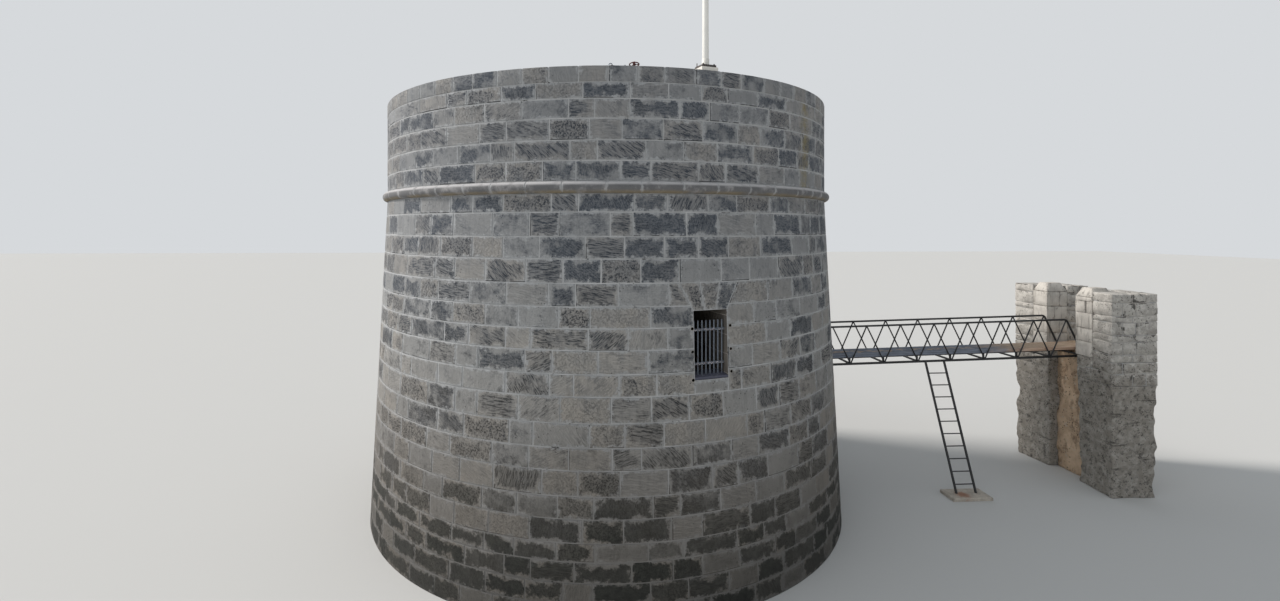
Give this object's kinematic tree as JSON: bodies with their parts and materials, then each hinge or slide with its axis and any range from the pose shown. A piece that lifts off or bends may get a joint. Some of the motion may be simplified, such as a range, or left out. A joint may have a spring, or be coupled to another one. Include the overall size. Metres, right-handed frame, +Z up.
{
  "type": "martello tower",
  "caption": "Round battered limestone gun tower with a string course, grilled window, flagpole, steel footbridge on a walled abutment, and a ladder.",
  "frame": {"origin": "on the tower's axis at the floor of its dry ditch, on the underside of the ground floor", "axes": "+Z up, +X from the tower's axis out through the doorway and along the footbridge"},
  "size_m": [19.3195, 11.44, 15.2197],
  "materials": {
    "ashlar": "weathered",
    "black_paint": "satin",
    "concrete": "rough",
    "dark_steel": "satin",
    "deck_timber": "weathered",
    "dressed_stone": "weathered",
    "floor_timber": "matte",
    "inner_stone": "rough",
    "parapet_stone": "weathered",
    "plinth_paint": "painted",
    "pole_paint": "satin",
    "red_paint": "worn",
    "rubble_stone": "rough",
    "sill_slate": "matte",
    "string_stone": "weathered",
    "wrought_iron": "rusted"
  },
  "bodies": {
    "root": {"abutment_sill": "rubble_stone", "abutment_wall_far": "rubble_stone", "abutment_wall_near": "rubble_stone", "bridge_brackets": "black_paint", "bridge_cross_beams": "black_paint", "bridge_deck_boards": "deck_timber", "bridge_deck_edges": "deck_timber", "bridge_truss_far": "black_paint", "bridge_truss_near": "black_paint", "door_head_wall": "ashlar", "eye_bolt": "wrought_iron", "firing_step": "inner_stone", "flagpole": "pole_paint", "flagpole_flange": "dark_steel", "flagpole_plinth": "plinth_paint", "flagpole_truck": "pole_paint", "floor_boards": "floor_timber", "floor_joists": "floor_timber", "gate_pier_far": "dressed_stone", "gate_pier_near": "dressed_stone", "ground_floor": "inner_stone", "gun_platform": "inner_stone", "hand_wheel": "red_paint", "ladder": "black_paint", "ladder_pad": "concrete", "lower_wall_even_sectors": "ashlar", "lower_wall_odd_sectors": "ashlar", "parapet_coping": "parapet_stone", "parapet_even_sectors": "parapet_stone", "parapet_odd_sectors": "parapet_stone", "parapet_studs": "parapet_stone", "string_course": "string_stone", "upper_wall_1": "ashlar", "upper_wall_2": "ashlar", "upper_wall_3": "ashlar", "upper_wall_4": "ashlar", "upper_wall_5": "ashlar", "upper_wall_6": "ashlar", "upper_wall_7": "ashlar", "upper_wall_8": "ashlar", "vault": "inner_stone", "window_grille": "wrought_iron", "window_sill": "sill_slate"}
  },
  "joints": []
}
